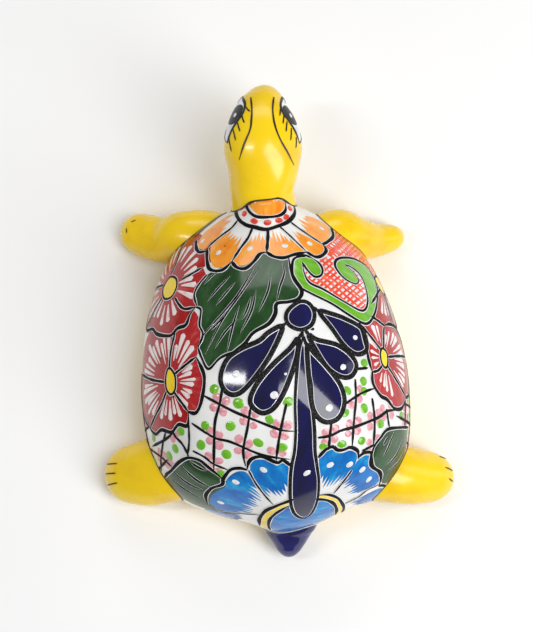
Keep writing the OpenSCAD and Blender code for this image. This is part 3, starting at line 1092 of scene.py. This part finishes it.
HATCH_LINES, HATCH_REACH = 30, 90       # lines to each side of a region's middle, and half their length


def runs(points, wanted, least):
    """The unbroken stretches of a line that are wanted, if they have more than the least points."""
    run = []
    for q in list(points) + [None]:
        if q is not None and wanted(*q):
            run.append(q)
            continue
        if len(run) > least:
            yield run
        run = []


def crosshatch(stamp, region, angles, spacing, width):
    """Two crossing sets of thin brush lines inside a region."""
    middle = region.mean(0)

    def covered(x, y):
        return inside(region, x, y)

    for angle in angles:
        way = heading(angle)
        off = np.array([-way[1], way[0]])
        for k in range(-HATCH_LINES, HATCH_LINES + 1):
            shift = off * (k * spacing + chance.uniform(-0.3, 0.3)) + middle
            bend = chance.uniform(-0.6, 0.6)
            line = [shift + way * s + off * bend * math.sin(s / 12)
                for s in np.arange(-HATCH_REACH, HATCH_REACH, 1.2)]
            for run in runs(line, covered, 2):
                stroke(hatch_red, stamp, run, width * chance.uniform(0.8, 1.2), HATCHED, curved=False)


heart = spline(scroll_inner[1:-1] + [(20, 31), (28, 33), (36, 36), (42, 33)], 6, closed=True)
fill(heart_ground, crown, heart, GROUND, curved=False)
crosshatch(crown, heart, (-38, 42), 2.9, 1.6)
flare = moved([(30, 37), (32, 41), (31, 44), (35, 49), (38, 56), (40, 60)], crown, shoulder)
flare = np.concatenate([flare, flank_line(shoulder,
    [(62, 42), (58, 32), (52, 28), (46, 27), (43, 34), (41, 42)]),
    moved([(62, 26), (58, 32), (50, 36), (43, 36), (36, 34)], crown, shoulder)])
fill(heart_ground, shoulder, flare, GROUND, curved=False)
crosshatch(shoulder, flare, (-48, 28), 2.7, 1.9)
scroll = np.concatenate([spline(scroll_outer, STEPS), spline(scroll_inner, STEPS)[1:],
    spline(curl, STEPS)[1:-1]])
block(scroll_lime, crown, scroll, OVER, slanted(-30), curved=False)
footprints.append((np.array([crown.at(x, y)[0] for x, y in heart]), np.array([0, 0, 1.0])))
footprints.append((np.array([shoulder.at(x, y)[0] for x, y in flare]), shoulder.normal))
ink(crown, scroll_outer[1:], 1.7)
ink(crown, scroll_inner, 1.5)
ink(crown, curl, 1.6)
ink(crown, [(13, 33), (18, 35), (23, 33)], 1.6)

# --- the cobalt motif

drops = [
    [(26, -1), (33, -2), (42, -5), (51, -10), (54, -18), (53, -24), (47, -26), (40, -21), (33, -11)],
    [(19, -15), (24, -18), (36, -21), (44, -27), (47, -33), (44, -39), (38, -40), (30, -35), (23, -24)],
    [(18, -22), (22, -26), (30, -35), (37, -45), (39, -55), (35, -64), (27, -66), (21, -60), (19, -48)],
    [(13, -17), (8, -23), (-4, -34), (-13, -45), (-16, -54), (-10, -60), (-3, -58), (3, -50), (8, -39),
    (12, -27)],
    [(4, -10), (-4, -13), (-10, -18), (-20, -22), (-28, -27), (-32, -34), (-33, -41), (-30, -47),
    (-25, -49), (-19, -46), (-10, -36), (-2, -24)],
]
disc = [(14, 5), (7, -1), (7, -8), (14, -12), (21, -9), (23, -2), (20, 4)]
stripe = [(15, -20), (12, -30), (11, -42), (11, -56), (11, -70), (10, -82), (8, -91), (7, -100),
    (6, -110), (8, -117), (13, -120), (18, -118), (21, -112), (23, -100), (22, -91), (20, -82),
    (20, -70), (19, -56), (19, -42), (17, -30)]


def bold(points, width, closed=False, hair=0.35):
    ink(crown, points, width, closed, bold_outlines, hair)


for shape in drops + [disc, stripe]:
    block(drop_cobalt, crown, shape, TOP_COAT, slanted(70))
for shape in drops:
    bold(shape, 3.1, closed=True)
bold(disc, 2.6, closed=True)
bold([(16, -16), (13, -26), (11, -42), (10, -56), (10, -70), (9, -82), (7, -91), (6, -100), (6, -111),
    (8, -118), (13, -121), (18, -119), (22, -111), (23, -100), (22, -91), (21, -82), (21, -70),
    (20, -56), (20, -44), (18, -32), (17, -22)], 2.0)
for tip in ([(22, 2), (26, -1)], [(17, -12), (20, -16)], [(15, -14), (18, -22)], [(16, -13), (12, -19)],
        [(6, -8), (2, -11)]):
    bold(tip, 2.2, hair=0.3)
dot(drop_cobalt, crown, 21.5, -11.5, 2.6, 2.0, lift=OVER)
for x, y, across in ((47, -16, 3.4), (39, -34, 3.9), (30, -58, 4.6), (-2, -50, 5.0), (-24, -37, 4.8),
        (5, -38, 1.8)):
    dot(dots_white, crown, x, y, across, across * 0.88, 30)

# --- the blue flower over the tail

rear = Stamp(shell_skin, (15.4, -111.9, 64.8), (0.16, -0.75, 0.64))
TAIL_EYE = (1, -16)
for outer in (
        [(6, 15), (4, 25), (4, 31), (7, 34), (11, 36), (15, 34), (18, 34), (22, 35), (26, 33), (27, 28),
        (24, 20), (22, 14)],
        [(23, 16), (25, 22), (28, 28), (32, 30), (36, 29), (38, 21), (44, 15), (46, 8), (43, 4), (38, 3),
        (33, 0)],
        [(36, -8), (41, -3), (47, -1), (52, -4), (54, -12), (50, -18), (42, -20)],
        [(-12, 10), (-14, 24), (-18, 27), (-21, 25), (-25, 26), (-30, 26), (-35, 23), (-35, 16),
        (-33, 11), (-28, 4)],
        [(-30, 5), (-36, 14), (-40, 15), (-44, 12), (-47, 6), (-47, 0), (-50, -5), (-53, -12),
        (-52, -22), (-45, -27), (-34, -23)],
        [(-34, -27), (-42, -31), (-50, -33), (-52, -38), (-44, -42), (-34, -42)]):
    dry_petal(petal_azure, rear, outer, TAIL_EYE, TEAR + 1)
eye_top = [(-14, -36), (-17, -28), (-18, -19), (-16, -11), (-12, -5), (-9, -3), (6, 1), (14, -2),
    (20, -8), (24, -17), (26, -26)]
ring_top = [(31, -27), (29, -17), (26, -10), (21, -2), (14, 3), (7, 4), (-8, 2), (-12, 0), (-17, -4),
    (-22, -12), (-23, -24), (-20, -36)]
block(petal_azure, rear, eye_top + [(16, -33), (4, -36), (-8, -38)], UNDER, slanted(0))
block(ring_yellow, rear, ring_top + eye_top, OVER, round_about(*TAIL_EYE))
for line, width in ((eye_top[:6], 2.0), (eye_top[6:], 2.2), (ring_top[:6], 2.0), (ring_top[6:], 2.4)):
    ink(rear, line, width)
for divider in ([(25, 22), (21, 12), (17, 3)], [(46, 4), (39, 2), (35, -5), (28, -11)],
        [(-36, 17), (-31, 9), (-25, 2), (-19, -4)], [(-51, -27), (-44, -29), (-37, -26), (-24, -19)]):
    ink(rear, divider, 1.3)
draw_lobes(rear, ([(3, 31), (7, 36), (11, 38), (14, 36), (18, 36), (22, 37), (27, 34), (28, 29)],
    [(28, 30), (31, 32), (36, 31), (37, 27), (39, 21), (45, 15), (47, 9), (47, 3)],
    [(47, 3), (53, -2), (55, -12), (52, -20)], [(-13, 26), (-18, 29), (-21, 27), (-30, 28), (-36, 24),
    (-37, 17)],
    [(-37, 17), (-41, 17), (-46, 14), (-49, 6), (-49, 1), (-54, -5), (-56, -14), (-53, -24)]))
dots(dots_white, rear, ((11, 26, 35), (23, 26, 40), (32, 21, 50), (38, 12, 60), (-28, 20, -20),
    (-42, 6, -10), (-47, -17, 0)), 4.6, 3.4)
dot(dots_white, crown, 16, -95, 4.8, 3.4, 30)

# --- small leaves at the rear

left_leaf = stamp_on(-58, -98)
left_edge = [(-17, 3), (-12, 6), (-5, 9), (5, 14), (14, 16), (21, 13), (24, 8), (27, 0)]
left_hidden = [(30, -12), (24, -24), (8, -30), (-8, -26), (-17, -12)]
block(leaf_green, left_leaf, left_edge + left_hidden, GROUND, slanted(-45))
ink(left_leaf, left_edge + [(28, -6)], 2.2)
draw_veins(left_leaf, ([(-2, 8), (3, 0), (11, -8)], [(7, 11), (11, 2), (17, -7)],
    [(14, 14), (18, 9), (22, 5)], [(-9, 3), (-3, -5), (3, -14)]), 2.0)
right_leaf = stamp_on(70, -88)
right_edge = [(-15, 18), (-21, 12), (-24, 7), (-24, 1), (-21, -5), (-13, -8), (-6, -13)]
right_hidden = [(2, -16), (9, -12), (13, -4), (15, 6), (14, 16), (8, 20), (-4, 20)]
block(leaf_green, right_leaf, right_edge + right_hidden, OVER, slanted(70))
ink(right_leaf, [(14, 20), (0, 20)] + right_edge, 2.0)
draw_veins(right_leaf, ([(-8, 17), (-11, 10), (-14, 1)], [(4, 13), (0, 4), (-8, -4)],
    [(11, 7), (7, 0), (-3, -7)], [(-14, 14), (-17, 8)]), 1.7)

# --- the shoulder band

shoulder_line = spline([(-29, 71, 39), (-37, 63, 43), (-43, 57, 45), (-48, 52, 46)], 12)
ribbon(rim_cobalt, [shell_skin.nearest(p) for p in shoulder_line], 4.4, LINE, brush_line)

# --- the lattice


def crossings(first, second):
    """Where the lines of one set cross those of another."""
    found = []
    for one in first:
        for two in second:
            for a, b in zip(one[:-1], one[1:]):
                for c, d in zip(two[:-1], two[1:]):
                    u, v, w = b - a, d - c, c - a
                    under = u[0] * v[1] - u[1] * v[0]
                    if abs(under) < 1e-9:
                        continue
                    s, t = (w[0] * v[1] - w[1] * v[0]) / under, (w[0] * u[1] - w[1] * u[0]) / under
                    if 0 <= s < 1 and 0 <= t < 1:
                        found.append((a + u * s, unit(u), unit(v)))
    return found


FACING = 0.2            # motifs that face away from a stamp more than this cosine don't count
PINK_REACH = 0.56       # how far the pink dots stand off a crossing, in their sizes
PINK_KEPT = 0.93        # the share of them that is painted


def lattice(stamp, rows, columns, cells, pink=5.6, lime=5.8):
    """Crossing brush lines, with pink dots round each crossing and a lime dot in each cell, which all
    stay clear of the other motifs."""
    taken = [seen_from(stamp, p) for p, n in footprints if n @ stamp.normal > FACING]

    def free(x, y):
        return not any(inside(shape, x, y) for shape in taken)

    rows = [even(spline(r, 6), 1.0) for r in rows]
    columns = [even(spline(c, 6), 1.0) for c in columns]
    for line in rows + columns:
        width = chance.uniform(1.35, 1.85)
        for run in runs(line, free, 3):
            stroke(lattice_lines, stamp, run, width, LINE - CLEAR, curved=False)
    for at, u, v in crossings(rows, columns):
        for a, b in ((1, 1), (1, -1), (-1, 1), (-1, -1)):
            x, y = at + (u * a + v * b) * (pink * PINK_REACH + chance.uniform(-0.2, 0.3))
            if free(x, y) and chance.random() < PINK_KEPT:
                dot(dots_pink, stamp, x, y, pink * chance.uniform(0.85, 1.05),
                    pink * chance.uniform(0.8, 1.1),
                    chance.uniform(0, 180), lift=OVER)
    for x, y in cells:
        if free(x, y):
            dot(dots_lime, stamp, x, y, lime * chance.uniform(0.85, 1.1), lime * chance.uniform(0.9, 1.2),
                chance.uniform(0, 180), lift=HALO)


lattice(crown,
    [[(-44, -48), (-34, -54), (-25, -59), (-16, -63), (1, -70), (9, -71)],
     [(-51, -64), (-38, -73), (-28, -76), (-10, -84), (6, -87)],
     [(-51, -80), (-44, -84), (-39, -88), (-30, -92)]],
    [[(-32, -44), (-34, -54), (-37, -64), (-38, -76), (-39, -93)],
    [(-16, -57), (-18, -68), (-21, -81), (-20, -90)],
     [(5, -55), (2, -67), (0, -76), (-2, -88)], [(-53, -62), (-53, -75), (-55, -85)]],
    [(-37, -45), (-23, -54), (6, -54), (-5, -64), (-43, -66), (-28, -67), (-12, -77), (2, -80),
    (-46, -77), (-31, -83), (-35, -94)])
left_lattice = stamp_on(-66, -76)
lattice(left_lattice,
    [moved(line, crown, left_lattice) for line in (
        [(-64, -62), (-62, -70), (-57, -76), (-53, -84)],
        [(-79, -76), (-74, -80), (-68, -85), (-60, -93)])]
    + [flank_line(left_lattice, [(a, 34) for a in range(190, 226, 6)])],
    [moved(line, crown, left_lattice) for line in (
        [(-66, -64), (-69, -72), (-71, -80), (-72, -90)], [(-58, -62), (-66, -71), (-77, -75)])]
    + [flank_line(left_lattice, [(a, z) for z in (29, 36, 44, 52, 58)]) for a in (199, 215)],
    list(moved([(-58, -68), (-62, -78), (-76, -70), (-76, -84), (-66, -82), (-72, -66)], crown,
    left_lattice)),
    pink=5, lime=5.6)
lattice(crown,
    [[(23, -75), (30, -74), (37, -71), (45, -69), (53, -66), (60, -63), (66, -59), (74, -58)],
     [(49, -83), (57, -79), (60, -77)], [(39, -56), (50, -49), (58, -46)], [(47, -35), (54, -34)]],
    [[(31, -66), (30, -74), (29, -83)], [(46, -41), (46, -53), (45, -61), (44, -70), (43, -82)],
     [(56, -52), (57, -61), (57, -70), (56, -80)], [(65, -58), (66, -66), (67, -72)]],
    [(39, -61), (51, -58), (61, -67), (37, -79), (49, -77), (51, -42), (41, -48), (52, -31), (51, -48),
    (26, -80)],
    pink=5.2, lime=5.4)
right_lattice = stamp_on(76, -62)
lattice(right_lattice,
    [flank_line(right_lattice, [(a, z) for a in range(-34, 0, 5)]) for z in (34, 48)],
    [flank_line(right_lattice, [(a, z) for z in (29, 36, 44, 52, 60)]) for a in (-27, -20, -13)],
    list(flank_line(right_lattice, [(-23, 41), (-17, 41), (-24, 55), (-18, 54), (-10, 40)])),
    pink=4.8, lime=5.2)
for side_stamp, start, end in ((stamp_on(-38, 62), 112, 142), (stamp_on(30, 68), 40, 70)):
    lattice(side_stamp, [flank_line(side_stamp, [(a, 34) for a in range(start, end, 5)])],
        [flank_line(side_stamp, [(a, z) for z in (29, 34, 40)]) for a in range(start + 5, end - 4, 9)],
        list(flank_line(side_stamp, [(a, 39) for a in range(start + 9, end - 6, 9)])), pink=4.8, lime=5.2)

# --- limb seams, face and claws

SEAM_GAP, NECK_SEAM_Z = 1.2, 52
for form_name, loop in loops.items():
    places = [(p, shell_skin.nearest(p)[1]) for p in even(loop, SEAM_GAP, closed=True)]
    ribbon(hairlines if form_name == "tail" else seams, places, 1.2, LINE, closed=True)
# The seam over the top of the neck is drawn again, thicker and smoother
neck_seam = [p for p in even(loops["head_and_neck"], SEAM_GAP, closed=True) if p[2] > NECK_SEAM_Z]
neck_seam = spline(sorted(neck_seam, key=lambda p: p[0])[::8], STEPS)
ribbon(seams, [(p, shell_skin.nearest(p)[1]) for p in neck_seam], 2.8, 0.6, vein_line)
head = skins["head_and_neck"]
HEAD_X, HEAD_Y = -4, 118
head_top = Stamp(head, (HEAD_X, HEAD_Y, 84), (0, 0, 1))


def face(points, width, stamp=head_top, paint=face_lines):
    """A fine brush line on the yellow body."""
    stroke(paint, stamp, points, width, LINE)


def on_head(points):
    """Points of the ground plan, as they lie on the head's stamp."""
    return [(x - HEAD_X, y - HEAD_Y) for x, y in points]


face(on_head([(3, 134), (2, 125), (3, 115), (6, 106), (10, 99), (14, 92)]), 1.1)
face(on_head([(-11, 134), (-10.5, 125), (-11, 118), (-12, 112), (-16, 103), (-19, 95)]), 1.1)
for lash in ([(7.2, 128.5), (6.6, 124.5), (6.2, 121)], [(9, 123), (8.4, 119), (8, 116)],
        [(10.5, 118), (10, 114), (9.7, 111)], [(13, 114), (12.8, 110), (12.3, 106)],
        [(15.8, 109), (15.8, 105), (15.4, 102)], [(-16.6, 123), (-16.2, 120), (-15.2, 117)],
        [(-19.4, 118), (-18.8, 115), (-18, 112)], [(-22.3, 114.5), (-21.6, 111), (-20.8, 107)],
        [(-25, 111), (-24.6, 106), (-23.6, 101)], [(-14.3, 128), (-13, 125.6), (-11.6, 124)]):
    face(on_head(lash), 0.95)
for sign, anchor in ((1, (13, 121, 70)), (-1, (-21, 122, 71))):
    side_stamp = Stamp(head, anchor, (0.8 * sign, 0.25, 0.55))

    def eyed(points):
        return [(x * sign, y) for x, y in points][::sign]

    almond = [(-1, 15), (-7, 8), (-8, 2), (-5, -4), (-2, -9), (2, -15), (6, -11), (8, -4), (8, 4),
        (5, 11)]
    fill(eye_whites_and_highlights, side_stamp, eyed(almond), OVER)
    fill(face_lines, side_stamp, eyed([(-7.5, 5), (-7, -1), (-3, -5), (2, -4), (5, 0), (4, 6), (-1, 8.5),
        (-5, 8)]), HALO)
    # The white dot on each black iris is a painted highlight: a glint of light painted into the eye
    dot(eye_whites_and_highlights, side_stamp, -2.5 * sign, 1.2, 2.6, 3.2)
    face(eyed([(0, 16), (-7, 9), (-8.5, 2), (-5.5, -4), (-2, -9), (2, -16)]), 1.7, stamp=side_stamp)
    face(eyed([(2, -16), (7, -11), (9, -4), (9, 4), (5, 12), (0, 16)]), 0.9, stamp=side_stamp)
    nostril = Stamp(head, (-3 + 5 * sign, 143, 58), (0.35 * sign, 0.9, -0.1))
    dot(face_lines, nostril, 0, 0, 1.6, 1.1, 30 * sign)
    smile = Stamp(head, (-4 + 14 * sign, 130, 55), (0.8 * sign, 0.5, -0.2))
    face([(-4 * sign, -14), (0, -9), (2 * sign, -2), (2 * sign, 6), (sign, 13)], 1.1, stamp=smile)

for form_name, marks, width in (
        ("rear_leg_left", ([(-108, -84), (-101, -84)], [(-109, -90), (-102, -90)],
        [(-108, -97), (-101, -96)]), 0.9),
        ("rear_leg_right", ([(101, -85), (107, -87)], [(104, -92), (109, -94)],
        [(106, -99), (109, -101)]), 0.9),
        ("front_flipper_left", ([(-93, 63), (-93, 66)], [(-90, 70), (-87, 71)]), 0.7)):
    over_form = Stamp(skins[form_name], (0, 0, 90), (0, 0, 1))
    for mark in marks:
        face(mark, width, stamp=over_form, paint=claws)

for item in colours:
    item.build()
